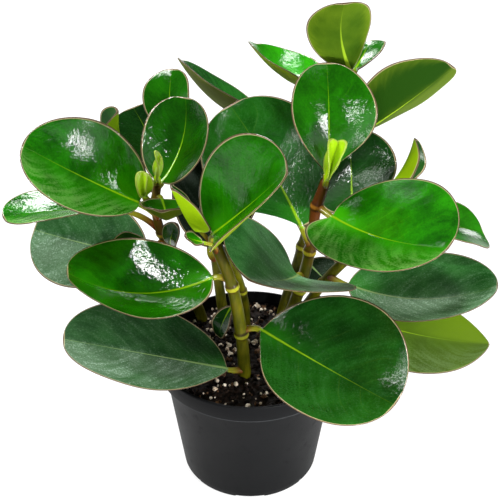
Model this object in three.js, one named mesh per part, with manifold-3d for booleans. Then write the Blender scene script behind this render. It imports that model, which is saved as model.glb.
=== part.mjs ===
// Potted peperomia: a bushy plant with thick spoon-shaped leaves in a nursery pot.
// Millimetres, +Z up. The origin is on the pot's axis, on the surface it stands on.
// +X is to the right and +Y is away, seen from the pot's front.

import * as THREE from 'three';
import { mergeVertices } from 'three/addons/utils/BufferGeometryUtils.js';
import Module from 'manifold-3d';

const wasm = await Module();
wasm.setup();

// Pot: a thin tapered cup with a taller, wider band round its rim.
const POT_HEIGHT = 83;
const POT_BASE_RADIUS = 39.8;
const POT_HEEL_RADIUS = 1.5;
const POT_NECK_RADIUS = 49.8;
const POT_BAND_RADIUS = 54;
const POT_BAND_FLARE = 0.8;
const POT_BAND_HEIGHT = 11;
const POT_LIP_ROUNDING = 0.6;
const POT_WALL = 1.6;
const POT_FLOOR = 2.4;
const POT_SIDES = 32;
const POT_NOTCHES = 6;
const POT_NOTCH_WIDTH = 17;
const POT_NOTCH_HEIGHT = 1.8;
const POT_NOTCH_DEPTH = 6;

// Soil: a low bumpy mound that fills the pot.
const SOIL_EDGE_HEIGHT = 75;
const SOIL_MOUND = 3.5;
const SOIL_BUMP = 0.7;
const SOIL_RINGS = 5;
const SOIL_SIDES = 30;
const SOIL_WALL_GAP = 0.7;

// A stem stands in the soil, and a stalk ends at its stem, with this gap between them.
const FIT_GAP = 0.3;

// Stems: round, with a swollen ring at each joint, given by distance and share of the radius.
const STEM_SIDES = 8;
const STEM_STEP = 20;
const JOINT_PROFILE = [[-3.2, 1], [-1, 1.22], [1, 1.2], [3, 0.98]];
const JOINT_REACH = 5;

// Blade: thick in the middle, thinner at the margin.
const BLADE_ROWS = 8;
const SMALL_BLADE_ROWS = 6;
const SMALL_BLADE_WIDTH = 30;
const BLADE_ACROSS = [-1, -0.5, 0, 0.5, 1];
const BUD_ROWS = 5;
const BUD_ACROSS = [-1, 0, 1];
const RIB_THICKNESS = 2.2;
const RIB_TIP_THICKNESS = 1.3;
const MARGIN_THICKNESS = 0.9;
const RIB_FADE = 1.4;
const WIDEST_SHIFT = 1.2;
const FOLD_POWER = 1.4;
const LOBE_REACH = 12;
const STALK_ROWS = 3;
const STALK_FLATNESS = 0.85;

const DEGREE = Math.PI / 180;

// Colours and roughness of the finishes.
const CHARCOAL = 0x2f3032;
const SOIL_BROWN = 0x2a1d14;
const STEM_OLIVE = 0x6f7a1e;
const LEAF_COLOURS = { glossy: 0x1f7a1c, deep: 0x1a4a22, dull: 0x35543a, young: 0x9cc41c, pale: 0x6d9a1c };
const POT_ROUGHNESS = 0.6;
const SOIL_ROUGHNESS = 0.95;
const STEM_ROUGHNESS = 0.5;
const LEAF_ROUGHNESS = 0.35;

const point = (xyz) => new THREE.Vector3(...xyz);

// Solids

function toSolid(geometry) {
  const bare = geometry.clone();
  bare.deleteAttribute('normal');
  bare.deleteAttribute('uv');
  const merged = mergeVertices(bare, 1e-4);
  const vertProperties = new Float32Array(merged.getAttribute('position').array);
  const triVerts = new Uint32Array(merged.index.array);
  return new wasm.Manifold(new wasm.Mesh({ numProp: 3, vertProperties, triVerts }));
}

function toGeometry(solid) {
  const { vertProperties, triVerts, numProp } = solid.getMesh();
  const positions = [];
  for (let i = 0; i < vertProperties.length; i += numProp) {
    positions.push(vertProperties[i], vertProperties[i + 1], vertProperties[i + 2]);
  }
  const geometry = new THREE.BufferGeometry();
  geometry.setAttribute('position', new THREE.Float32BufferAttribute(positions, 3));
  geometry.setIndex(Array.from(triVerts));
  return geometry;
}

// A skin over closed rings of equal point count, with a flat fan on each end.
// The second half of each ring is split the other way, so both faces of a blade are split alike.
function loft(rings) {
  const size = rings[0].length;
  const positions = rings.flat().flatMap((p) => [p.x, p.y, p.z]);
  const faces = [];
  for (let row = 0; row + 1 < rings.length; row += 1) {
    for (let i = 0; i < size; i += 1) {
      const a = row * size + i;
      const b = row * size + ((i + 1) % size);
      if (i < size / 2) {
        faces.push(a, b, b + size, a, b + size, a + size);
      } else {
        faces.push(a, b, a + size, b, b + size, a + size);
      }
    }
  }
  const last = (rings.length - 1) * size;
  for (let i = 1; i + 1 < size; i += 1) {
    faces.push(0, i + 1, i);
    faces.push(last, last + i, last + i + 1);
  }
  const geometry = new THREE.BufferGeometry();
  geometry.setAttribute('position', new THREE.Float32BufferAttribute(positions, 3));
  geometry.setIndex(faces);
  return geometry;
}

function finish(name, solid, color, roughness) {
  const material = new THREE.MeshStandardMaterial({ color, roughness, metalness: 0 });
  const mesh = new THREE.Mesh(toGeometry(solid), material);
  mesh.name = name;
  return mesh;
}

// Pot

function potSolid() {
  const bandBottom = POT_HEIGHT - POT_BAND_HEIGHT;
  const bandTop = POT_BAND_RADIUS + POT_BAND_FLARE;
  const heel = POT_HEEL_RADIUS;
  const profile = [
    [0, 0],
    [POT_BASE_RADIUS - heel, 0],
    [POT_BASE_RADIUS - heel * 0.3, heel * 0.3],
    [POT_BASE_RADIUS + heel * 0.1, heel],
    [POT_NECK_RADIUS, bandBottom],
    [POT_BAND_RADIUS, bandBottom],
    [bandTop, POT_HEIGHT - POT_LIP_ROUNDING],
    [bandTop - POT_LIP_ROUNDING, POT_HEIGHT],
    [bandTop - POT_WALL, POT_HEIGHT],
    [POT_NECK_RADIUS - POT_WALL, bandBottom],
    [POT_BASE_RADIUS - POT_WALL, heel + POT_FLOOR],
    [POT_BASE_RADIUS - heel - POT_WALL, POT_FLOOR],
    [0, POT_FLOOR],
  ];
  const lathe = new THREE.LatheGeometry(profile.map(([r, z]) => new THREE.Vector2(r, z)), POT_SIDES);
  lathe.rotateX(Math.PI / 2);
  let pot = toSolid(lathe);
  // Shallow notches under the heel let water run out.
  for (let i = 0; i < POT_NOTCHES; i += 1) {
    const notch = new THREE.BoxGeometry(POT_NOTCH_WIDTH, 2 * POT_NOTCH_DEPTH, 2 * POT_NOTCH_HEIGHT);
    notch.translate(0, -POT_BASE_RADIUS, 0);
    notch.rotateZ((i * 2 * Math.PI) / POT_NOTCHES);
    pot = pot.subtract(toSolid(notch));
  }
  return pot;
}

// Soil

function soilHeight(r, angle) {
  const t = r / POT_NECK_RADIUS;
  const crumbs = Math.sin(r * 0.9 + 3 * Math.sin(angle * 5)) + Math.cos(angle * 11 + r * 0.5);
  return SOIL_EDGE_HEIGHT + SOIL_MOUND * (1 - t * t) + SOIL_BUMP * crumbs * (1 - t * t * t);
}

function circleRing(radius, heightAt) {
  const ring = [];
  for (let i = 0; i < SOIL_SIDES; i += 1) {
    const angle = (i * 2 * Math.PI) / SOIL_SIDES;
    ring.push(point([radius * Math.cos(angle), radius * Math.sin(angle), heightAt(angle)]));
  }
  return ring;
}

function soilSolid(stems) {
  const inward = POT_WALL + SOIL_WALL_GAP;
  const bandBottom = POT_HEIGHT - POT_BAND_HEIGHT;
  const bandSlope = (POT_BAND_RADIUS + POT_BAND_FLARE - POT_NECK_RADIUS) / POT_BAND_HEIGHT;
  const edge = POT_NECK_RADIUS - inward + bandSlope * (SOIL_EDGE_HEIGHT - bandBottom);
  const levels = [
    [POT_BASE_RADIUS - POT_HEEL_RADIUS - inward, POT_FLOOR + FIT_GAP],
    [POT_BASE_RADIUS - inward, POT_HEEL_RADIUS + POT_FLOOR + FIT_GAP],
    [POT_NECK_RADIUS - inward, bandBottom],
  ];
  const rings = levels.map(([r, z]) => circleRing(r, () => z));
  for (let i = 0; i < SOIL_RINGS; i += 1) {
    const r = edge * (1 - i / SOIL_RINGS);
    rings.push(circleRing(r, (angle) => soilHeight(r, angle)));
  }
  let soil = toSolid(loft(rings));
  for (const stem of stems) {
    soil = soil.subtract(stem.clearance);
  }
  return soil;
}

// Stems

// Places along a stem from 0 to 1, each with its share of the radius.
function stemStations(length, joints) {
  const count = Math.ceil(length / STEM_STEP);
  const stations = [[0, 1], [1, 1]];
  for (let i = 1; i < count; i += 1) {
    const t = i / count;
    if (joints.every((joint) => Math.abs(t - joint) * length > JOINT_REACH)) {
      stations.push([t, 1]);
    }
  }
  for (const joint of joints) {
    for (const [offset, swell] of JOINT_PROFILE) {
      stations.push([joint + offset / length, swell]);
    }
  }
  return stations.sort((a, b) => a[0] - b[0]);
}

// The stem, or with a gap the room it needs, which also reaches past both of its ends.
function stemSolid({ route, radii, joints }, gap) {
  const curve = new THREE.CatmullRomCurve3(route.map(point), false, 'centripetal');
  const rings = stemStations(curve.getLength(), joints).map(([t, swell]) => {
    const along = curve.getTangentAt(t);
    const beyond = gap * (Number(t === 1) - Number(t === 0));
    const centre = curve.getPointAt(t).addScaledVector(along, beyond);
    const side = new THREE.Vector3(0, 1, 0).cross(along).normalize();
    const front = along.clone().cross(side);
    const radius = THREE.MathUtils.lerp(radii[0], radii[1], t) * swell + gap;
    const ring = [];
    for (let i = 0; i < STEM_SIDES; i += 1) {
      const angle = (i * 2 * Math.PI) / STEM_SIDES;
      const out = side.clone().multiplyScalar(Math.cos(angle)).addScaledVector(front, Math.sin(angle));
      ring.push(centre.clone().addScaledVector(out, radius));
    }
    return ring;
  });
  return toSolid(loft(rings));
}

const STEMS = [
  {
    name: 'stem_front',
    route: [[-2, -18, 60], [-3, -19, 77], [-5, -21, 110], [-10, -25, 145], [-18, -28, 173]],
    radii: [3.7, 3.0],
    joints: [0.42, 0.73],
  },
  {
    name: 'stem_left',
    route: [[-26, 33, 62], [-29, 35, 77], [-41, 26, 118], [-50, 16, 152], [-52, 12, 172], [-50, 12, 187]],
    radii: [3.3, 2.3],
    joints: [0.45, 0.72, 0.9],
  },
  {
    name: 'stem_back_left',
    route: [[-13, 28, 62], [-15, 28, 77], [-20, 32, 120], [-25, 42, 165], [-34, 47, 192]],
    radii: [3.2, 2.3],
    joints: [0.5, 0.8],
  },
  {
    name: 'stem_slim',
    route: [[-1, 20, 62], [-2, 20, 77], [-3, 14, 105], [-8, 4, 133], [-17, -2, 155]],
    radii: [2.6, 1.9],
    joints: [0.55],
  },
  {
    name: 'stem_middle',
    route: [[14, 15, 62], [17, 17, 77], [26, 19, 100], [33, 18, 131], [37, 19, 166], [42, 20, 184]],
    radii: [3.8, 2.8],
    joints: [0.4, 0.62, 0.86],
  },
  {
    name: 'stem_tall',
    route: [[16, 36, 62], [20, 40, 77], [34, 50, 130], [48, 56, 185], [57, 50, 229]],
    radii: [3.8, 2.5],
    joints: [0.35, 0.62, 0.85],
  },
  {
    name: 'stem_right',
    route: [[24, 32, 62], [28, 31, 77], [46, 22, 117], [60, 22, 134], [76, 24, 154], [82, 29, 171]],
    radii: [3.4, 2.4],
    joints: [0.42, 0.66, 0.85],
  },
];

// Leaves

// Half width of a blade, from 0 at its base to 1 at the widest and 0 at the tip.
function outline(leaf, u) {
  const shifted = u ** WIDEST_SHIFT;
  return Math.max(4 * shifted * (1 - shifted), 0) ** THREE.MathUtils.lerp(leaf.shoulder, leaf.taper, u);
}

// Directions of a blade: along it, across it to its left, and up from its upper face.
function bladeAxes(leaf) {
  const along = point(leaf.tip).sub(point(leaf.base)).normalize();
  const up = point(leaf.faces);
  up.addScaledVector(along, -up.dot(along)).normalize();
  const across = up.clone().cross(along);
  return { along, across, up };
}

// A point of the blade's middle surface: u from base to tip, v from right to left margin.
function bladePoint(leaf, axes, u, v) {
  const length = point(leaf.tip).distanceTo(point(leaf.base));
  const half = (leaf.width / 2) * outline(leaf, u);
  const out = v * Math.max(half, leaf.stalkRadius);
  const turn = leaf.twist * DEGREE * (u - 0.5);
  const bow = 4 * u * (1 - u);
  const fold = Math.tan(leaf.cup * DEGREE) * (1.15 - 0.5 * u);
  const lift = Math.abs(out) ** FOLD_POWER * (leaf.width / 2) ** (1 - FOLD_POWER) * fold;
  const wave = leaf.wave * v * v * Math.sin(u * 3 * Math.PI + (v > 0 ? 0 : 1.8)) * bow;
  const towardBase = (1 - u) ** 3 * (1 - (1 - u) ** LOBE_REACH);
  const corner = length * towardBase * v * v * (leaf.lobe + leaf.skew * v);
  return point(leaf.base)
    .addScaledVector(axes.along, u * length - corner)
    .addScaledVector(axes.up, leaf.arch * bow + lift * Math.cos(turn) + out * Math.sin(turn) + wave)
    .addScaledVector(axes.across, leaf.sway * bow + out * Math.cos(turn) - lift * Math.sin(turn));
}

function bladeRing(leaf, axes, u) {
  const rib = THREE.MathUtils.lerp(RIB_THICKNESS, RIB_TIP_THICKNESS, u);
  const upper = [];
  const lower = [];
  for (const v of leaf.acrossAt) {
    const middle = bladePoint(leaf, axes, u, v);
    const slope = bladePoint(leaf, axes, u, v + 0.01).sub(bladePoint(leaf, axes, u, v - 0.01));
    const normal = axes.along.clone().cross(slope).normalize();
    const thickness = THREE.MathUtils.lerp(rib, MARGIN_THICKNESS, Math.min(1, Math.abs(v) * RIB_FADE));
    upper.unshift(middle.clone().addScaledVector(normal, thickness / 2));
    lower.push(middle.clone().addScaledVector(normal, -thickness / 2));
  }
  return [...upper, ...lower];
}

// The stalk leaves the stem and bends into the line of the blade's midrib.
function stalkRings(leaf, axes) {
  const foot = point(leaf.from);
  const base = point(leaf.base);
  const into = bladePoint(leaf, axes, 0.06, 0).sub(base).normalize();
  const reach = base.distanceTo(foot) * 0.5;
  const curve = new THREE.QuadraticBezierCurve3(foot, base.clone().addScaledVector(into, -reach), base);
  const rings = [];
  for (let i = 0; i < STALK_ROWS; i += 1) {
    const t = i / STALK_ROWS;
    const centre = curve.getPoint(t);
    const along = curve.getTangent(t);
    const up = axes.up.clone().addScaledVector(along, -axes.up.dot(along)).normalize();
    const across = up.clone().cross(along);
    const upper = [];
    const lower = [];
    for (const v of leaf.acrossAt) {
      const rise = leaf.stalkRadius * Math.sqrt(1.1 - v * v) * STALK_FLATNESS;
      const side = centre.clone().addScaledVector(across, v * leaf.stalkRadius);
      upper.unshift(side.clone().addScaledVector(up, rise));
      lower.push(side.clone().addScaledVector(up, -rise));
    }
    rings.push([...upper, ...lower]);
  }
  return rings;
}

const PLAIN_LEAF = {
  arch: 2, sway: 0, cup: 14, twist: 0, shoulder: 0.55, taper: 0.46, lobe: 0.04, skew: 0, wave: 0.6,
  stalkRadius: 1.9,
};

function leafSolid(row, stems) {
  const leaf = {
    ...PLAIN_LEAF,
    rows: row.width < SMALL_BLADE_WIDTH ? SMALL_BLADE_ROWS : BLADE_ROWS,
    acrossAt: BLADE_ACROSS,
    ...row,
  };
  const axes = bladeAxes(leaf);
  const rings = stalkRings(leaf, axes);
  for (let i = 0; i <= leaf.rows; i += 1) {
    const u = (1 - Math.cos((Math.PI * (i + 0.25)) / (leaf.rows + 0.4))) / 2;
    rings.push(bladeRing(leaf, axes, u));
  }
  let solid = toSolid(loft(rings));
  for (const stem of stems) {
    solid = solid.subtract(stem.clearance);
  }
  return solid;
}

// Each row is one leaf, in millimetres and degrees.
// from: the point in the stem that its stalk grows out of. base and tip: the ends of its blade.
// faces: where its upper face looks. arch and sway: how far the midrib bends up and to the left.
// cup: how steeply the sides rise. twist: how far the tip is turned against the base.
// shoulder and taper: how slowly it widens from its base and narrows to its tip.
// lobe: how far its lower corners reach back, and skew their difference.
const LEAVES = [
  // On the front stem.
  {
    name: 'leaf_front_low', look: 'dull', from: [-4, -20, 82], base: [-13, -24, 85], tip: [-102, -34, 114],
    faces: [0.3, 0, 0.95], width: 74, arch: 0, cup: 13, twist: 6, lobe: -0.02, skew: -0.08,
  },
  {
    name: 'leaf_front_right', look: 'deep', from: [-5, -21, 109], base: [6, -24, 113], tip: [75, -80, 107],
    faces: [-0.1, -0.25, 0.96], width: 79, arch: -3, sway: 1, cup: 27, twist: 5, shoulder: 0.63,
    lobe: 0, skew: 0.08,
  },
  {
    name: 'leaf_front_left', look: 'glossy', from: [-10, -25, 146], base: [-20, -25, 149],
    tip: [-96, -36, 160],
    faces: [0.17, -0.15, 0.97], width: 60, arch: -11, sway: 3, cup: 26, twist: 25, shoulder: 0.59, skew: 0.05,
  },
  {
    name: 'leaf_front_spoon', look: 'glossy', from: [-18, -28, 171], base: [-19, -30, 180],
    tip: [18, -56, 233],
    faces: [-0.84, -0.21, 0.5], width: 61, arch: -1, cup: 36, twist: -17, shoulder: 0.75,
    lobe: 0.12, skew: 0.12,
  },
  {
    name: 'leaf_front_young', look: 'young', from: [-16, -27, 166], base: [-27, -18, 175],
    tip: [-40, -26, 206],
    faces: [0.88, 0.45, 0.2], width: 23, arch: -2, sway: 7, cup: 34, twist: 6, stalkRadius: 1.4,
  },
  {
    name: 'leaf_front_small', look: 'glossy', from: [-18, -28, 167], base: [-24, -39, 181],
    tip: [-33, -43, 188],
    faces: [0.3, -0.2, 0.9], width: 9, arch: -1, cup: 24, stalkRadius: 1.2,
  },
  // On the left stem.
  {
    name: 'leaf_left_glossy', look: 'glossy', from: [-51, 14, 162], base: [-60, 2, 179],
    tip: [-116, -16, 225],
    faces: [0.62, -0.5, 0.6], width: 52, sway: 2, cup: 34, twist: -24, shoulder: 0.49, lobe: 0.05, skew: -0.1,
  },
  {
    name: 'leaf_left_far', look: 'glossy', from: [-50, 16, 152], base: [-72, 15, 166], tip: [-132, -8, 176],
    faces: [0.06, 0.3, 0.95], width: 49, sway: 1, twist: -20,
  },
  {
    name: 'leaf_left_dull', look: 'dull', from: [-46, 21, 135], base: [-59, 13, 136], tip: [-127, 45, 134],
    faces: [-0.28, -0.54, 0.79], width: 57, arch: -3, cup: 12, twist: -12,
  },
  {
    name: 'leaf_left_upright', look: 'glossy', from: [-50, 12, 184], base: [-48, 12, 186],
    tip: [-35, 41, 223],
    faces: [-0.43, -0.62, 0.65], width: 42, arch: -3, sway: -4, cup: 28, twist: -8, shoulder: 0.52,
    lobe: 0.08,
    skew: -0.04,
  },
  {
    name: 'leaf_left_shelf', look: 'glossy', from: [-51, 12, 174], base: [-48, 5, 180], tip: [-46, -24, 191],
    faces: [0.05, 0.34, 0.94], width: 29, arch: -7, sway: 3, cup: 32, shoulder: 0.6, stalkRadius: 1.4,
  },
  {
    name: 'leaf_left_shade', look: 'deep', from: [-45, 21, 134], base: [-44, 14, 143], tip: [-40, 8, 162],
    faces: [-0.5, -0.7, 0.5], width: 14, cup: 20, stalkRadius: 1.3,
  },
  {
    name: 'leaf_left_flat', look: 'deep', from: [-48, 18, 147], base: [-57, 10, 147], tip: [-76, 3, 151],
    faces: [0.1, -0.05, 1], width: 14, cup: 20, stalkRadius: 1.3,
  },
  // On the back left stem.
  {
    name: 'leaf_back_left_top', look: 'glossy', from: [-33, 46, 190], base: [-43, 46, 199],
    tip: [-43, 62, 230],
    faces: [-0.45, -0.65, 0.6], width: 31, arch: 3, cup: 20,
  },
  {
    name: 'leaf_back_left_dark', look: 'deep', from: [-27, 44, 172], base: [-50, 50, 176],
    tip: [-68, 77, 198],
    faces: [0.1, -0.5, 0.86], width: 44,
  },
  {
    name: 'leaf_back_left_tall', look: 'dull', from: [-20, 32, 122], base: [-23, 28, 133],
    tip: [-17, 46, 196],
    faces: [0.1, -0.95, 0.3], width: 50,
  },
  {
    name: 'leaf_back_left_small', look: 'young', from: [-51, 13, 179], base: [-69, 30, 192],
    tip: [-71, 27, 222],
    faces: [-0.88, 0, 0.45], width: 28, cup: 45, skew: 0.05, stalkRadius: 1.4,
  },
  // On the slim stem.
  {
    name: 'leaf_slim_sprout', look: 'deep', from: [-2, 16, 96], base: [-10, 9, 105], tip: [-18, 4, 86],
    faces: [-0.6, -0.6, 0.3], width: 13, cup: 25, stalkRadius: 1.2,
  },
  // On the middle stem.
  {
    name: 'leaf_middle_round', look: 'deep', from: [34, 18, 140], base: [29, 17, 154], tip: [-11, 38, 220],
    faces: [-0.1, -0.9, 0.4], width: 70, arch: 0, sway: -2, cup: 4, shoulder: 0.85, lobe: 0, skew: -0.15,
  },
  {
    name: 'leaf_middle_top', look: 'glossy', from: [42, 20, 182], base: [42, 21, 187], tip: [41, 41, 244],
    faces: [0.3, -0.88, 0.35], width: 48, arch: 3, cup: 28, twist: -28, shoulder: 0.65, lobe: -0.07,
  },
  {
    name: 'leaf_middle_right', look: 'glossy', from: [37, 19, 168], base: [45, 9, 166], tip: [100, -50, 185],
    faces: [-0.35, 0.01, 0.94], width: 73, arch: -2, sway: -4, cup: 24, twist: 12, shoulder: 0.67, lobe: 0.22,
    skew: -0.03,
  },
  {
    name: 'leaf_middle_viewer', look: 'dull', from: [31, 18, 121], base: [27, 11, 125], tip: [-1, -49, 165],
    faces: [0.48, 0.33, 0.81], width: 77, arch: 0, sway: 4, cup: 29, twist: 2, shoulder: 0.48,
    lobe: 0.15, skew: -0.16,
  },
  // On the tall stem at the back.
  {
    name: 'leaf_tall_crown', look: 'pale', from: [56, 50, 227], base: [54, 46, 237], tip: [49, 34, 281],
    faces: [-0.15, 0.96, 0.24], width: 35, arch: 3, sway: -3, cup: 19, twist: -18,
  },
  {
    name: 'leaf_tall_behind', look: 'glossy', from: [56, 51, 224], base: [58, 56, 232], tip: [67, 77, 240],
    faces: [-0.12, 0.04, 1], width: 25, arch: 2, sway: -2, cup: 26,
  },
  {
    name: 'leaf_tall_left', look: 'glossy', from: [53, 54, 214], base: [40, 50, 224], tip: [3, 88, 233],
    faces: [0.34, 0.17, 0.92], width: 45, arch: -7, sway: -2, cup: 28, twist: 9,
  },
  {
    name: 'leaf_tall_right', look: 'pale', from: [51, 55, 200], base: [62, 48, 198], tip: [110, 47, 239],
    faces: [-0.37, 0.83, 0.43], width: 54, arch: -3, sway: -3, cup: 21, twist: 3, shoulder: 0.58, lobe: 0,
    skew: -0.09,
  },
  {
    name: 'leaf_tall_edge', look: 'deep', from: [45, 55, 176], base: [14, 58, 197], tip: [-40, 96, 219],
    faces: [0.53, 0.31, 0.79], width: 57, arch: -8, cup: 21,
  },
  {
    name: 'leaf_tall_low', look: 'dull', from: [27, 45, 105], base: [34, 45, 111], tip: [47, 44, 96],
    faces: [0.1, -0.8, 0.6], width: 25, cup: 12, stalkRadius: 1.4,
  },
  // On the right stem.
  {
    name: 'leaf_right_shade', look: 'deep', from: [66, 22, 142], base: [58, 34, 156], tip: [55, 42, 203],
    faces: [0.1, -0.95, 0.3], width: 50, lobe: 0.12, skew: 0.1,
  },
  {
    name: 'leaf_right_young', look: 'young', from: [82, 29, 169], base: [79, 25, 176], tip: [91, 35, 201],
    faces: [0.95, -0.3, 0.1], width: 20, cup: 44, stalkRadius: 1.4,
  },
  {
    name: 'leaf_right_tip', look: 'glossy', from: [76, 24, 155], base: [96, 25, 151], tip: [136, 37, 136],
    faces: [0.5, 0, 0.85], width: 40, twist: 10, taper: 0.3,
  },
  {
    name: 'leaf_right_long', look: 'dull', from: [46, 22, 117], base: [56, 10, 119], tip: [138, -6, 130],
    faces: [-0.11, 0, 0.99], width: 68, arch: -7, sway: -4, cup: 19, twist: -12, taper: 0.52, lobe: 0.03,
  },
  {
    name: 'leaf_right_low', look: 'pale', from: [38, 26, 100], base: [56, 12, 97], tip: [139, 0, 84],
    faces: [0.18, -0.1, 0.97], width: 68, arch: -3, sway: -2, cup: 3, twist: -21, taper: 0.75,
  },
];

// Shoot tips: pairs of young blades still folded against each other.
const BUDS = [
  {
    name: 'bud_middle',
    blades: [
      { from: [42, 18, 180], base: [41, 12, 188], tip: [42, 8, 215], faces: [0.8, -0.5, 0.2], width: 15 },
      { from: [42, 18, 180], base: [42, 12, 188], tip: [51, 10, 213], faces: [-0.8, -0.5, 0.5], width: 12 },
    ],
  },
  {
    name: 'bud_left_high',
    blades: [
      { from: [-50, 12, 186], base: [-51, 7, 190], tip: [-50, 3, 211], faces: [0.9, -0.3, 0], width: 7 },
      { from: [-50, 12, 186], base: [-49, 7, 190], tip: [-47, 4, 207], faces: [-0.9, -0.4, 0], width: 6 },
    ],
  },
  {
    name: 'bud_left_low',
    blades: [
      { from: [-52, 11, 175], base: [-57, 3, 183], tip: [-59, 0, 200], faces: [0.6, -0.8, 0.2], width: 11 },
      { from: [-52, 11, 175], base: [-56, 3, 183], tip: [-55, 0, 199], faces: [-0.7, -0.7, 0.1], width: 8 },
    ],
  },
];

const BUD_BLADE = { cup: 22, wave: 0, stalkRadius: 1.2, rows: BUD_ROWS, acrossAt: BUD_ACROSS };

function budSolid(bud, stems) {
  const [first, second] = bud.blades.map((row) => leafSolid({ ...BUD_BLADE, ...row }, stems));
  return first.add(second);
}

// The whole plant in its pot.

const plant = new THREE.Group();
const stems = STEMS.map((row) => ({
  name: row.name,
  solid: stemSolid(row, 0),
  clearance: stemSolid(row, FIT_GAP),
}));

plant.add(finish('pot', potSolid(), CHARCOAL, POT_ROUGHNESS));
plant.add(finish('soil', soilSolid(stems), SOIL_BROWN, SOIL_ROUGHNESS));
for (const stem of stems) {
  plant.add(finish(stem.name, stem.solid, STEM_OLIVE, STEM_ROUGHNESS));
}
for (const leaf of LEAVES) {
  plant.add(finish(leaf.name, leafSolid(leaf, stems), LEAF_COLOURS[leaf.look], LEAF_ROUGHNESS));
}
for (const bud of BUDS) {
  plant.add(finish(bud.name, budSolid(bud, stems), LEAF_COLOURS.young, LEAF_ROUGHNESS));
}

export default plant;
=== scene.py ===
# %% [markdown]
# # A potted peperomia
# This lesson dresses a bushy house plant in a black nursery pot. A plain model of it is loaded first and
# never moves: it gives every place and size. Each cell then makes one piece or one finish, says how the
# real thing looks, and prints what it made. Lengths of the plant are written in millimetres.

# %% Load the plain model
import math

import bpy
import numpy as np
from mathutils import Matrix, Vector, noise


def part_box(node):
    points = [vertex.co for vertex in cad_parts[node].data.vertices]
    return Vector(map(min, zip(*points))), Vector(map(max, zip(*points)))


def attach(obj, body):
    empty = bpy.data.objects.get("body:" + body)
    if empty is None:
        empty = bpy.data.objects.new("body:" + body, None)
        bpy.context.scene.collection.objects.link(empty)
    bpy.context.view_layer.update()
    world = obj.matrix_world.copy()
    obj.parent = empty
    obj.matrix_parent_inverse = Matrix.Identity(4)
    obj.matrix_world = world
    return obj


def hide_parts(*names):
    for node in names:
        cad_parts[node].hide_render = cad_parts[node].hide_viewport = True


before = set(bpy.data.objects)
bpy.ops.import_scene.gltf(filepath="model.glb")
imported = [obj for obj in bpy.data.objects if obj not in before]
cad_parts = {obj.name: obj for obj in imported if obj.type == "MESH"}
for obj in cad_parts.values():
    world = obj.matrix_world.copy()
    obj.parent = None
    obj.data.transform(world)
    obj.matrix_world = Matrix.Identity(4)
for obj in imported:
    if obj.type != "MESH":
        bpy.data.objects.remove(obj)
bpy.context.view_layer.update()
scene = bpy.context.scene
MM = 0.001
print("plain model:", len(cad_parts), "solids")

# %% [markdown]
# ## Camera
# The photograph looks down on the plant from the front. A long lens keeps the pot's sides nearly
# straight. The angle was read from how round the pot's rim looks, and the distance from how much
# narrower its base is than its rim.

# %% Camera
VIEW_DOWN = math.radians(34.04)
VIEW_DISTANCE = 0.700
VIEW_HEIGHT = 0.1505
LENS_MM = 91.5

target = Vector((0, 0, VIEW_HEIGHT))
camera_place = target + VIEW_DISTANCE * Vector((0, -math.cos(VIEW_DOWN), math.sin(VIEW_DOWN)))
bpy.ops.object.camera_add(location=camera_place)
camera = bpy.context.object
camera.name = "photo_view"
camera.rotation_euler = (target - camera_place).to_track_quat("-Z", "Y").to_euler()
camera.data.lens = LENS_MM
camera.data.sensor_width = 36
scene.camera = camera
print("camera at", [round(c, 3) for c in camera_place])

# %% [markdown]
# ## Floor and light
# The plant stands on white paper in a bright studio. Waxy leaves mirror a lamp as hard white flecks and
# the room as a faint sheen, so the lamps are strong panels and the room itself stays dim. Each panel is
# placed by the direction it is seen in from the plant: degrees round from the back, and degrees up.

# %% Floor
FLOOR_SIZE = 16.0

bpy.ops.mesh.primitive_plane_add(size=FLOOR_SIZE, location=(0, 0, 0))
floor = bpy.context.object
floor.name = "floor"
print("floor", FLOOR_SIZE, "m wide")


# %% Lamps
PLANT_MIDDLE = Vector((0, 0, 0.17))
ROOM_GLOW = 0.075


def lamp(name, round_from_back, up, distance, size, brightness):
    """A panel that faces the plant. Its power follows from its size and how bright it looks."""
    turn, rise = math.radians(round_from_back), math.radians(up)
    way = Vector((math.sin(turn) * math.cos(rise), math.cos(turn) * math.cos(rise), math.sin(rise)))
    bpy.ops.object.light_add(type="AREA", location=PLANT_MIDDLE + way * distance)
    panel = bpy.context.object
    panel.name = name
    panel.data.shape = "RECTANGLE"
    panel.data.size, panel.data.size_y = size
    panel.data.energy = brightness * math.pi * size[0] * size[1]
    panel.rotation_euler = (-way).to_track_quat("-Z", "Y").to_euler()
    panel.visible_camera = False
    return panel


LAMPS = [
    lamp("lamp_behind", 0, 27, 1.3, (0.46, 0.22), 26),
    lamp("lamp_behind_left", -30, 31, 1.2, (0.12, 0.14), 60),
    lamp("lamp_behind_right", 33, 3, 1.2, (0.14, 0.10), 14),
    lamp("lamp_behind_high", 20, 47, 1.2, (0.14, 0.12), 32),
    lamp("lamp_front_low", -167, 5, 1.1, (0.05, 0.10), 110),
    lamp("lamp_front_floor", 175, -13, 0.58, (0.05, 0.04), 45),
    lamp("lamp_right_low", 144, -2, 0.30, (0.075, 0.035), 130),
    lamp("lamp_right", 108, 2, 1.0, (0.12, 0.16), 60),
    lamp("lamp_above_front", -165, 72, 1.1, (0.10, 0.07), 260),
    lamp("lamp_left_high", -96, 54, 1.2, (0.28, 0.28), 55),
    lamp("lamp_room", 140, 50, 1.6, (1.2, 0.8), 1.1),
]

world = bpy.data.worlds.new("studio")
world.use_nodes = True
scene.world = world
backdrop = world.node_tree.nodes["Background"]
backdrop.inputs["Color"].default_value = (1, 1, 1, 1)
backdrop.inputs["Strength"].default_value = ROOM_GLOW
scene.view_settings.view_transform = "Standard"
print(len(LAMPS), "lamps")

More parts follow.
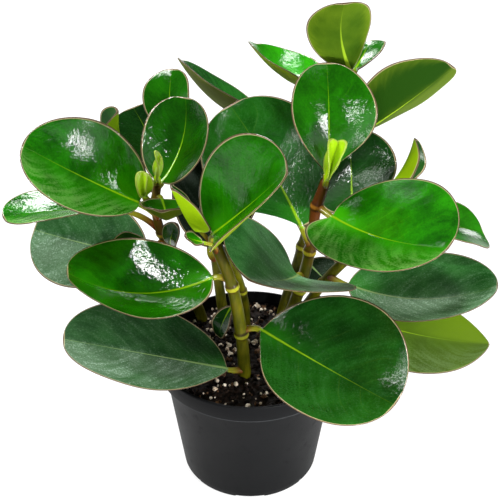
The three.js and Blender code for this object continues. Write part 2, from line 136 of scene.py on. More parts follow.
# %% [markdown]
# ## Shader maths in plain Python
# A finish is a sum of small masks: here is the rib, here the margin, here a cloud of darker green.
# Wrapping a socket in a class lets such a mask be written as an expression, such as 1 - mask, and every
# operation then adds its own Math node.


# %% Shader helpers
MATT_ROUGHNESS = 0.75
MATT_SHEEN = 0.06


class Value:
    """A number that varies over a surface."""

    def __init__(self, tree, socket):
        self.tree = tree
        self.socket = socket

    def maths(self, operation, other=0.0, swap=False):
        node = self.tree.nodes.new("ShaderNodeMath")
        node.operation = operation
        pair = (other, self) if swap else (self, other)
        for socket, value in zip(node.inputs, pair):
            if isinstance(value, Value):
                self.tree.links.new(value.socket, socket)
            else:
                socket.default_value = value
        return Value(self.tree, node.outputs[0])

    def __add__(self, other):
        return self.maths("ADD", other)

    def __sub__(self, other):
        return self.maths("SUBTRACT", other)

    def __rsub__(self, other):
        return self.maths("SUBTRACT", other, swap=True)

    def __mul__(self, other):
        return self.maths("MULTIPLY", other)

    def __truediv__(self, other):
        return self.maths("DIVIDE", other)

    def __pow__(self, other):
        return self.maths("POWER", other)

    __radd__ = __add__
    __rmul__ = __mul__


class Paint:
    """A material whose nodes are added one by one. Its surface shader takes plain numbers and links."""

    def __init__(self, name, **constants):
        self.material = bpy.data.materials.new(name)
        self.material.use_nodes = True
        self.tree = self.material.node_tree
        self.shader = self.tree.nodes["Principled BSDF"]
        for socket, value in constants.items():
            self.shader.inputs[socket.replace("_", " ")].default_value = value

    def node(self, kind, settings=None, output=0, **sockets):
        made = self.tree.nodes.new(kind)
        for key, value in (settings or {}).items():
            setattr(made, key, value)
        for name, value in sockets.items():
            socket = made.inputs[name.replace("_", " ")]
            if isinstance(value, Value):
                self.tree.links.new(value.socket, socket)
            else:
                socket.default_value = value
        return Value(self.tree, made.outputs[output])

    def place(self):
        return self.node("ShaderNodeTexCoord", output="Object")

    def own(self, attribute):
        return self.node("ShaderNodeAttribute", {"attribute_name": attribute}, output="Fac")

    def cloud(self, grain_mm, detail=3.0, stretch=(1, 1, 1)):
        where = self.node("ShaderNodeMapping", Vector=self.place(), Scale=stretch)
        return self.node("ShaderNodeTexNoise", Vector=where, Scale=1 / (grain_mm * MM), Detail=detail)

    def ramp(self, value, start, end):
        """0 before start and 1 after end, with a soft step between them."""
        return self.node("ShaderNodeMapRange", {"interpolation_type": "SMOOTHSTEP"}, Value=value,
                         From_Min=start, From_Max=end)

    def blend(self, share, first, second):
        """The first colour where share is 0, the second where it is 1."""
        made = self.tree.nodes.new("ShaderNodeMix")
        made.data_type = "RGBA"
        for index, value in ((0, share), (6, first), (7, second)):
            if isinstance(value, Value):
                self.tree.links.new(value.socket, made.inputs[index])
            else:
                made.inputs[index].default_value = (*value, 1) if index else value
        return Value(self.tree, made.outputs[2])

    def relief(self, height, depth_mm, strength=1.0):
        return self.node("ShaderNodeBump", Height=height, Distance=depth_mm * MM, Strength=strength)

    def finish(self, **links):
        for socket, value in links.items():
            self.tree.links.new(value.socket, self.shader.inputs[socket.replace("_", " ")])
        return self.material

    def wax_over(self, share, **links):
        """Keeps the shader where share is 1, and puts a matt one with these links where it is 0."""
        matt = self.tree.nodes.new("ShaderNodeBsdfPrincipled")
        matt.inputs["Roughness"].default_value = MATT_ROUGHNESS
        matt.inputs["Specular IOR Level"].default_value = MATT_SHEEN
        for socket, value in links.items():
            self.tree.links.new(value.socket, matt.inputs[socket.replace("_", " ")])
        both = self.tree.nodes.new("ShaderNodeMixShader")
        for index, socket in enumerate((share.socket, matt.outputs[0], self.shader.outputs[0])):
            self.tree.links.new(socket, both.inputs[index])
        self.tree.links.new(both.outputs[0], self.tree.nodes["Material Output"].inputs["Surface"])
        return self.material


print("shader helpers ready")

# %% Paper for the floor
# The paper gives off light of its own, as if lit from below, so it stays white where the lamps are weak.
PAPER_GREY = (0.20, 0.20, 0.20)
PAPER_FIBRE = (0.24, 0.24, 0.24)
PAPER_GLOW = 0.86
FIBRE_SIZE = 0.8
FIBRE_RISE = 0.05

paper = Paint("white_paper", Roughness=0.9, Emission_Color=(1, 1, 1, 1), Emission_Strength=PAPER_GLOW)
fibres = paper.cloud(FIBRE_SIZE)
floor.data.materials.append(paper.finish(
    Base_Color=paper.blend(fibres, PAPER_GREY, PAPER_FIBRE),
    Normal=paper.relief(fibres, FIBRE_RISE),
))
print("paper:", floor.data.materials[0].name)


# %% [markdown]
# ## Small helpers for pieces
# Loading leaves the plain solids selected, and an operator acts on all that is selected, so each piece
# starts from an empty selection. At the end a piece gets its finish, rides with the plant and stands
# for the plain solid of the same part.

# %% Piece helpers
def fresh():
    if bpy.context.object and bpy.context.object.mode != "OBJECT":
        bpy.ops.object.mode_set(mode="OBJECT")
    bpy.ops.object.select_all(action="DESELECT")


def pick(piece):
    """Makes this piece the only one selected, and the one that operators act on."""
    fresh()
    piece.select_set(True)
    bpy.context.view_layer.objects.active = piece


def turn_faces_out():
    """Turns the faces of the piece in edit mode outwards, and leaves edit mode."""
    bpy.ops.mesh.select_all(action="SELECT")
    bpy.ops.mesh.normals_make_consistent(inside=False)
    bpy.ops.object.mode_set(mode="OBJECT")


def settle(piece, name, material, solids=()):
    """Applies the piece's place, names it and hands it over to the plain model."""
    pick(piece)
    bpy.ops.object.transform_apply(location=True, rotation=True, scale=True)
    piece.name = name
    piece.data.name = name
    piece.data.materials.clear()
    piece.data.materials.append(material)
    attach(piece, "root")
    if solids:
        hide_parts(*solids)
    return piece


def mould(piece, form):
    """Moves every point: form takes the points as an N by 3 array and gives new ones back."""
    points = np.empty(len(piece.data.vertices) * 3)
    piece.data.vertices.foreach_get("co", points)
    moved = form(points.reshape(-1, 3))
    piece.data.vertices.foreach_set("co", moved.ravel())
    piece.data.update()


def write_values(piece, **values):
    """Stores one number a point under each name, for the piece's finish to read."""
    for name, numbers in values.items():
        layer = piece.data.attributes.new(name, "FLOAT", "POINT")
        layer.data.foreach_set("value", np.asarray(numbers, dtype=float))


def smooth(values, start, end):
    """0 before start and 1 after end, with a soft step between them."""
    share = np.clip((values - start) / (end - start), 0, 1)
    return share * share * (3 - 2 * share)


print("piece helpers ready")

# %% [markdown]
# ## Pot
# The pot is thin black plastic, pressed in a mould: a tapered cup, a taller band round the rim with a
# sharp lower edge, a rounded heel and shallow notches that let water out. A turned shape is easiest made
# as on a wheel: one circle is extruded ring by ring, and each new ring is scaled to the next radius.

# %% The pot's outline, from the plain model's own size
POT_SIDES = 160
POT_WALL = 1.6
POT_FLOOR = 2.4
BAND_HEIGHT = 11
BAND_FLARE = 0.8
BAND_STEP = 4.2
BAND_FILLET = (0.3, 0.5)
LIP_ROUNDING = 0.6
HEEL = 1.5
NOTCH_RING = 5

low, high = (Vector(corner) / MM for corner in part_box("pot"))
POT_HEIGHT = high.z
LIP_RADIUS = high.x
BASE_RADIUS = 39.8
BAND_RADIUS = LIP_RADIUS - BAND_FLARE
NECK_RADIUS = BAND_RADIUS - BAND_STEP
BAND_BOTTOM = POT_HEIGHT - BAND_HEIGHT

POT_OUTLINE = [
    (BASE_RADIUS - HEEL, 0),
    (BASE_RADIUS - HEEL * 0.3, HEEL * 0.3),
    (BASE_RADIUS + HEEL * 0.1, HEEL),
    (BASE_RADIUS + (NECK_RADIUS - BASE_RADIUS) * NOTCH_RING / BAND_BOTTOM, NOTCH_RING),
    (NECK_RADIUS, BAND_BOTTOM - BAND_FILLET[1]),
    (NECK_RADIUS + BAND_FILLET[0], BAND_BOTTOM),
    (BAND_RADIUS, BAND_BOTTOM),
    (LIP_RADIUS, POT_HEIGHT - LIP_ROUNDING),
    (LIP_RADIUS - LIP_ROUNDING, POT_HEIGHT),
    (LIP_RADIUS - POT_WALL, POT_HEIGHT),
    (BAND_RADIUS - POT_WALL, BAND_BOTTOM + POT_WALL),
    (NECK_RADIUS - POT_WALL, BAND_BOTTOM - POT_WALL),
    (BASE_RADIUS - POT_WALL, HEEL + POT_FLOOR),
    (BASE_RADIUS - HEEL - POT_WALL, POT_FLOOR),
]
print("pot", round(2 * LIP_RADIUS), "mm wide and", round(POT_HEIGHT), "mm high")

# %% Black plastic
CHARCOAL = (0.0022, 0.0025, 0.0030)
CHARCOAL_WORN = (0.006, 0.0062, 0.0070)
# A lighter grey for the painted highlight along the band's lower edge.
EDGE_HIGHLIGHT_GREY = (0.028, 0.030, 0.032)
EDGE_HIGHLIGHT_LINE = 0.7
EDGE_HIGHLIGHT_FADE = 0.3

plastic = Paint("black_plastic", Roughness=0.5, Specular_IOR_Level=0.10)
moulding = plastic.cloud(0.35, detail=4)
haze = plastic.cloud(22, detail=4)
dust = plastic.ramp(plastic.cloud(5, detail=5), 0.55, 0.8)

# A thin highlight along the band's lower edge is painted in a lighter grey, placed by its height in
# millimetres.
above = plastic.node("ShaderNodeSeparateXYZ", output="Z", Vector=plastic.place()) / MM - BAND_BOTTOM
edge_highlight = plastic.ramp(above, -0.2, 0.1) * (1 - plastic.ramp(above, EDGE_HIGHLIGHT_LINE, EDGE_HIGHLIGHT_LINE + EDGE_HIGHLIGHT_FADE))
plastic_colour = plastic.blend(dust * 0.35 + haze * 0.3, CHARCOAL, CHARCOAL_WORN)
black_plastic = plastic.finish(
    Base_Color=plastic.blend(edge_highlight, plastic_colour, EDGE_HIGHLIGHT_GREY),
    Roughness=0.44 + haze * 0.16 + dust * 0.12,
    Normal=plastic.relief(moulding, 0.06, 0.5),
)
print("finish:", black_plastic.name)

# %% Turn the pot ring by ring
fresh()
bpy.ops.mesh.primitive_circle_add(vertices=POT_SIDES, radius=POT_OUTLINE[0][0] * MM, fill_type="NGON")
pot = bpy.context.object
bpy.ops.object.mode_set(mode="EDIT")
bpy.ops.mesh.select_all(action="SELECT")
bpy.ops.mesh.extrude_region_move()
for (radius, height), (next_radius, next_height) in zip(POT_OUTLINE, POT_OUTLINE[1:]):
    bpy.ops.transform.translate(value=(0, 0, (next_height - height) * MM))
    grow = next_radius / radius
    bpy.ops.transform.resize(value=(grow, grow, 1), center_override=(0, 0, next_height * MM))
    if (next_radius, next_height) != POT_OUTLINE[-1]:
        bpy.ops.mesh.extrude_region_move()
turn_faces_out()
print("turned pot:", len(pot.data.polygons), "faces")

# %% Round its edges and cut the drain notches
NOTCHES = 6
NOTCH_SIZE = (17, 12, 3.6)
EDGE_ROUNDING = 0.45
EDGE_STEPS = 3
SHARP_EDGE = 25
CREASE = 28

rounding = pot.modifiers.new("rounding", "BEVEL")
rounding.width = EDGE_ROUNDING * MM
rounding.segments = EDGE_STEPS
rounding.limit_method = "ANGLE"
rounding.angle_limit = math.radians(SHARP_EDGE)
bpy.ops.object.modifier_apply(modifier=rounding.name)

cutters = []
for number in range(NOTCHES):
    fresh()
    turn = number * 2 * math.pi / NOTCHES
    spot = Vector((math.sin(turn), -math.cos(turn), 0)) * BASE_RADIUS * MM
    bpy.ops.mesh.primitive_cube_add(size=1, location=spot, rotation=(0, 0, turn))
    cutter = bpy.context.object
    cutter.scale = Vector(NOTCH_SIZE) * MM
    cutters.append(cutter)
pick(pot)
for cutter in cutters:
    notch = pot.modifiers.new("notch", "BOOLEAN")
    notch.object = cutter
    notch.operation = "DIFFERENCE"
    notch.solver = "EXACT"
    bpy.ops.object.modifier_apply(modifier=notch.name)
    bpy.data.objects.remove(cutter)
bpy.ops.object.shade_smooth_by_angle(angle=math.radians(CREASE))
settle(pot, "nursery_pot", black_plastic, ["pot"])
print("pot with", NOTCHES, "notches:", len(pot.data.polygons), "faces")

# %% [markdown]
# ## Soil
# Potting mix is dark crumbly peat with pale grains of perlite. The ground is a grid pressed into a
# round, raised into a low mound and roughened with noise at the size of the crumbs, then extruded down
# to the pot's floor. The loose grains on top are small lumps, modelled a few times and scattered.

# %% Soil finishes
PEAT_DARK = (0.0015, 0.001, 0.0006)
PEAT_LIGHT = (0.016, 0.008, 0.0045)
CHIP_BROWN = (0.11, 0.055, 0.024)
PERLITE_WHITE = (0.88, 0.80, 0.68)
PERLITE_STAINED = (0.42, 0.32, 0.22)


def crumbly(name, dark, light, grain_mm, roughness):
    """A matt finish with grains and small pits in it."""
    paint = Paint(name, Specular_IOR_Level=0.12)
    grain = paint.cloud(grain_mm, detail=5)
    pits = paint.cloud(grain_mm * 0.3, detail=3)
    return paint.finish(
        Base_Color=paint.blend(paint.ramp(grain, 0.35, 0.7), dark, light),
        Roughness=roughness + pits * 0.25,
        Normal=paint.relief(pits, 0.5, 0.8),
    )


peat = crumbly("peat", PEAT_DARK, PEAT_LIGHT, 1.6, 0.6)
bark = crumbly("bark_chips", PEAT_LIGHT, CHIP_BROWN, 2.5, 0.55)
perlite = crumbly("perlite", PERLITE_STAINED, PERLITE_WHITE, 2.2, 0.5)
print("finishes:", peat.name, bark.name, perlite.name)

# %% Ground
SOIL_EDGE = 75
SOIL_MOUND = 3.5
SOIL_GRID = 150
WALL_GAP = 0.7
FLOOR_GAP = 0.4
CRUST = 8
CRUMB_SIZE = 2.6
CRUMB_RISE = 1.1
FINER_CRUMBS = 2.2
WAVE_SIZE = 14
WAVE_RISE = 1.4

soil_radius = BAND_RADIUS - POT_WALL - WALL_GAP


def ground_height(x, y):
    """Height of the soil in millimetres at a place in millimetres."""
    share = min(1.0, math.hypot(x, y) / soil_radius)
    coarse = noise.noise(Vector((x, y, 0)) / CRUMB_SIZE)
    finer = noise.noise(Vector((y, x, 7)) / (CRUMB_SIZE / FINER_CRUMBS))
    waves = noise.noise(Vector((x, y, 3)) / WAVE_SIZE)
    mound = SOIL_MOUND * (1 - share ** 2)
    return SOIL_EDGE + mound + CRUMB_RISE * (coarse + 0.5 * finer) + WAVE_RISE * waves * (1 - share ** 4)


def ground_form(points):
    """Presses a square grid, 2 units wide, into a round and sets its heights."""
    x, y = points[:, 0], points[:, 1]
    round_x = x * np.sqrt(1 - y * y / 2) * soil_radius
    round_y = y * np.sqrt(1 - x * x / 2) * soil_radius
    heights = np.array([ground_height(a, b) for a, b in zip(round_x, round_y)])
    return np.column_stack([round_x, round_y, heights]) * MM


fresh()
bpy.ops.mesh.primitive_grid_add(x_subdivisions=SOIL_GRID, y_subdivisions=SOIL_GRID, size=2)
ground = bpy.context.object
mould(ground, ground_form)
bpy.ops.object.mode_set(mode="EDIT")
bpy.ops.mesh.select_all(action="SELECT")
bpy.ops.mesh.extrude_region_move(TRANSFORM_OT_translate={"value": (0, 0, -CRUST * MM)})
SOIL_LEVELS = [
    (BAND_BOTTOM - POT_WALL, (NECK_RADIUS - POT_WALL - WALL_GAP) / soil_radius),
    (POT_FLOOR + FLOOR_GAP, (BASE_RADIUS - HEEL - POT_WALL - WALL_GAP) / (NECK_RADIUS - POT_WALL - WALL_GAP)),
]
for level, (height, narrow) in enumerate(SOIL_LEVELS):
    if level:
        bpy.ops.mesh.extrude_region_move()
    bpy.ops.transform.resize(value=(narrow, narrow, 0), center_override=(0, 0, height * MM))
turn_faces_out()
bpy.ops.object.shade_smooth()
settle(ground, "soil_ground", peat, ["soil"])
print("ground:", len(ground.data.polygons), "faces")

# %% Loose grains
GRAIN_SHAPES = 5
GRAIN_SEED = 11
GRAIN_WIDTH = 0.8
GRAIN_DENT = 0.7
GRAIN_DENTS = 2.2
GRAIN_SHIFT = 9.1
GRAIN_AREA = 0.985

draw = np.random.default_rng(GRAIN_SEED)


def lump(number, flat):
    """One rough grain about 1 mm across, as an object of its own."""
    fresh()
    bpy.ops.mesh.primitive_ico_sphere_add(subdivisions=2, radius=0.5)
    grain = bpy.context.object

    def dent(points):
        shift = Vector((number * GRAIN_SHIFT, 0, 0))
        push = [1 + GRAIN_DENT * noise.noise(Vector(p) * GRAIN_DENTS + shift) for p in points]
        return points * np.array(push)[:, None] * (1, GRAIN_WIDTH, flat)

    mould(grain, dent)
    return grain


def scatter(name, material, count, sizes, flat, sink=0.25):
    """Copies the lumps over the soil, each with its own turn and size, and joins them in one piece."""
    shapes = [lump(number, flat) for number in range(GRAIN_SHAPES)]
    copies = []
    for number in range(count):
        angle = draw.uniform(0, 2 * math.pi)
        radius = soil_radius * math.sqrt(draw.uniform(0, GRAIN_AREA))
        size = sizes[0] + (sizes[1] - sizes[0]) * draw.uniform() ** 2
        x, y = radius * math.cos(angle), radius * math.sin(angle)
        copy = shapes[number % GRAIN_SHAPES].copy()
        copy.data = copy.data.copy()
        scene.collection.objects.link(copy)
        place = Vector((x, y, ground_height(x, y) + size * sink)) * MM
        turn = Matrix.Rotation(draw.uniform(0, 6.28), 4, Vector(draw.normal(size=3)).normalized())
        copy.data.transform(Matrix.Translation(place) @ turn @ Matrix.Scale(size * MM, 4))
        copies.append(copy)
    for shape in shapes:
        bpy.data.objects.remove(shape)
    pick(copies[0])
    for copy in copies:
        copy.select_set(True)
    bpy.ops.object.join()
    bpy.ops.object.shade_smooth()
    piece = bpy.context.object
    settle(piece, name, material)
    print(name, count, "grains,", len(piece.data.polygons), "faces")


scatter("peat_crumbs", peat, 700, (1.2, 3.4), 0.8)
scatter("bark_bits", bark, 160, (1.6, 4.5), 0.45)
scatter("perlite_grains", perlite, 240, (1.1, 3.6), 0.85, sink=0.34)

# %% [markdown]
# ## Stems
# The stems are thick, smooth and jointed like small bamboo. At each joint there is a swollen ring with a
# pale scar where a leaf grew. A stem starts as a ball: one pole is pushed down into the soil, the other
# up to the shoot, and every ring in between is moved to its place on a smooth curve and set to the
# stem's radius there. The ball's poles close both ends.

# %% Stem finish
STEM_GREEN = (0.034, 0.040, 0.0008)
STEM_YELLOW = (0.105, 0.100, 0.0015)
STEM_RED = (0.075, 0.020, 0.003)
SCAR_PALE = (0.36, 0.37, 0.02)
SCAR_ORANGE = (0.30, 0.12, 0.012)
SCAR_DARK = (0.035, 0.011, 0.003)
SCAR_FADE = (0.8, 2.0)
SCAR_LINE_START = (1.2, 1.6)
SCAR_LINE_END = (1.8, 3.4)

skin = Paint("stem_skin", Specular_IOR_Level=0.14)
from_joint = skin.own("from_joint")
redness = skin.own("redness")
streaks = skin.cloud(1.6, detail=4, stretch=(1, 1, 0.12))
patches = skin.cloud(9, detail=3)
stem_colour = skin.blend(skin.ramp(streaks * 0.5 + patches * 0.5, 0.3, 0.7), STEM_GREEN, STEM_YELLOW)
red = skin.ramp(redness + patches * 0.6 + streaks * 0.2, 0.55, 0.95)
stem_colour = skin.blend(red, stem_colour, STEM_RED)
scar = 1 - skin.ramp(from_joint + patches * 0.6, *SCAR_FADE)
stem_colour = skin.blend(scar * 0.9, stem_colour, skin.blend(red, SCAR_PALE, SCAR_ORANGE))
scar_line = skin.ramp(from_joint, *SCAR_LINE_START) * (1 - skin.ramp(from_joint, *SCAR_LINE_END))
stem_colour = skin.blend(scar_line * 0.6, stem_colour, SCAR_DARK)
stem_skin = skin.finish(
    Base_Color=stem_colour,
    Roughness=0.3 + patches * 0.2,
    Normal=skin.relief(streaks, 0.15, 0.6),
)
print("finish:", stem_skin.name)


# %% Curve through points
def smooth_curve(route, samples=240):
    """Places spaced evenly along a curve that runs through every point of the route."""
    points = [np.array(p, dtype=float) for p in route]
    points = [2 * points[0] - points[1], *points, 2 * points[-1] - points[-2]]
    places = []
    for before, start, end, after in zip(points, points[1:], points[2:], points[3:]):
        first, middle, last = (np.linalg.norm(b - a) ** 0.5 for a, b in
                               ((before, start), (start, end), (end, after)))
        leave = ((start - before) / first - (end - before) / (first + middle)) * middle + (end - start)
        arrive = (end - start) - ((after - start) / (middle + last) - (after - end) / last) * middle
        for t in np.linspace(0, 1, samples, endpoint=False):
            places.append(start * (2 * t ** 3 - 3 * t ** 2 + 1) + end * (3 * t ** 2 - 2 * t ** 3)
                          + leave * (t ** 3 - 2 * t ** 2 + t) + arrive * (t ** 3 - t ** 2))
    places = np.array([*places, points[-2]])
    run = np.concatenate([[0], np.cumsum(np.linalg.norm(np.diff(places, axis=0), axis=1))])
    even = np.linspace(0, run[-1], samples)
    return np.column_stack([np.interp(even, run, places[:, axis]) for axis in range(3)]), run[-1]


def ball(rings, sides):
    """A ball whose every point also knows how far it is from the lower pole, 0 to 1, and its turn."""
    fresh()
    bpy.ops.mesh.primitive_uv_sphere_add(segments=sides, ring_count=rings, radius=1)
    bpy.ops.object.shade_smooth()
    piece = bpy.context.object
    points = np.empty(len(piece.data.vertices) * 3)
    piece.data.vertices.foreach_get("co", points)
    points = points.reshape(-1, 3)
    along = np.arccos(np.clip(-points[:, 2], -1, 1)) / math.pi
    return piece, along, np.arctan2(points[:, 1], points[:, 0])


print("curve and ball helpers ready")

# %% Routes of the stems
# Each stem: its route up from the soil, its radii at foot and top, the shares of its length where the
# joints are, and how red its upper part is.
STEMS = {
    "front": ([(-2, -18, 60), (-3, -19, 77), (-5, -21, 110), (-10, -25, 145), (-18, -28, 173)],
              (3.7, 3.0), (0.42, 0.73), 0.25),
    "left": ([(-26, 33, 62), (-29, 35, 77), (-41, 26, 118), (-50, 16, 152), (-52, 12, 172), (-50, 12, 187)],
             (3.3, 2.3), (0.45, 0.72, 0.9), 0.35),
    "back_left": ([(-13, 28, 62), (-15, 28, 77), (-20, 32, 120), (-25, 42, 165), (-34, 47, 192)],
                  (3.2, 2.3), (0.5, 0.8), 0.1),
    "slim": ([(-1, 20, 62), (-2, 20, 77), (-3, 14, 105), (-8, 4, 133), (-17, -2, 155)],
             (2.6, 1.9), (0.55,), 0.0),
    "middle": ([(14, 15, 62), (17, 17, 77), (26, 19, 100), (33, 18, 131), (37, 19, 166), (42, 20, 184)],
               (3.8, 2.8), (0.4, 0.62, 0.86), 0.55),
    "tall": ([(16, 36, 62), (20, 40, 77), (34, 50, 130), (48, 56, 185), (57, 50, 229)],
             (3.8, 2.5), (0.35, 0.62, 0.85), 0.1),
    "right": ([(24, 32, 62), (28, 31, 77), (46, 22, 117), (60, 22, 134), (76, 24, 154), (82, 29, 171)],
              (3.4, 2.4), (0.42, 0.66, 0.85), 0.3),
}
print(len(STEMS), "routes")

# %% Grow the stems
STEM_RINGS = 150
STEM_SIDES = 28
SWELLING = 0.24
SWELLING_LENGTH = 2.4
SCAR_RIDGE = 0.22
RIDGE_PLACE = 1.1
RIDGE_WIDTH = 0.5
UNEVENNESS = 0.03
UNEVEN_LENGTH = 7


def grow_stem(name, route, radii, joints, redness):
    """Moves the rings of a ball along the route, thicker at the joints."""
    piece, along, turn = ball(STEM_RINGS, STEM_SIDES)
    places, length = smooth_curve(route)
    run = along * length
    where = along * (len(places) - 1)
    steps = np.arange(len(places))
    centre = np.column_stack([np.interp(where, steps, places[:, axis]) for axis in range(3)])

    # Each ring lies square to the route. side and front are the two directions across it.
    heading = np.gradient(places, axis=0)
    heading = np.column_stack([np.interp(where, steps, heading[:, axis]) for axis in range(3)])
    heading /= np.linalg.norm(heading, axis=1)[:, None]
    side = np.cross((0, 1, 0), heading)
    side /= np.linalg.norm(side, axis=1)[:, None]
    front = np.cross(heading, side)

    # The stem swells at a joint, with a sharp ridge on each side of it, and both ends close in a round cap.
    from_joint = np.min([np.abs(run - joint * length) for joint in joints], axis=0)
    swell = 1 + SWELLING * np.exp(-(from_joint / SWELLING_LENGTH) ** 2)
    ridge = SCAR_RIDGE * np.exp(-((from_joint - RIDGE_PLACE) / RIDGE_WIDTH) ** 2)
    radius = (radii[0] + (radii[1] - radii[0]) * along) * swell + ridge
    radius *= 1 + UNEVENNESS * np.sin(run / UNEVEN_LENGTH + len(name))
    radius *= np.sqrt(smooth(run, -0.5, radii[0] * 0.8) * smooth(length - run, -0.2, radii[1] * 0.9))
    out = side * np.cos(turn)[:, None] + front * np.sin(turn)[:, None]
    mould(piece, lambda points: (centre + out * radius[:, None]) * MM)
    write_values(piece, from_joint=from_joint, redness=redness * smooth(along, 0.35, 0.85))
    settle(piece, "stem_" + name + "_skin", stem_skin, ["stem_" + name])


for stem_name, facts in STEMS.items():
    grow_stem(stem_name, *facts)
print(len(STEMS), "stems")

# %% [markdown]
# ## Leaves
# A peperomia leaf is a thick fleshy spoon: waxy dark green above, matt and yellower below, with a pale
# rim that ends in a thin red-brown line. Each leaf starts as a ball too, pressed flat: one pole is the
# stalk's foot inside the stem, the other the leaf's tip, and the ball's equator on each side becomes the
# rounded rim. Stalk and blade are then one skin with no seam between them.
#
# The finish comes first. It reads numbers stored at the leaf's own points, such as how far along the
# blade a point is and how many millimetres from the rim, so the rib, the veins and the rim follow the leaf
# however it bends. A pattern in space would cut straight through it.

# %% Leaf colours and grain
RIM_PALE = (0.46, 0.37, 0.21)
RIM_BROWN = (0.045, 0.016, 0.012)
STALK_OLIVE = (0.22, 0.22, 0.012)
STALK_RED = (0.14, 0.038, 0.010)
# Whitish powder on old leaves, partly a painted sheen.
POWDER_AND_SHEEN = (0.28, 0.39, 0.30)
# A yellowish film, partly dust and partly a painted sheen.
DUST_AND_SHEEN = (0.28, 0.46, 0.14)

# Grain sizes, and widths of the rim and the rib, are in millimetres.
PATCH_SIZE = 15
RIPPLE_SIZE = 2.6
SPECKLE_SIZE = 1.0
FINE_SIZE = 0.5
RIM_BAND = (0.70, 1.05)
RIM_LINE = (0.42, 0.62)
RIB_FOOT = 0.75
RIB_TIP = 0.16
SIDE_VEINS = 6.5
VEIN_CURVE = 2.6
VEIN_WIDTH = 0.045
STREAKS_ALONG = 3.2
STREAKS_ACROSS = 2.2
SEED_SHIFT = 23
print("leaf colours ready")


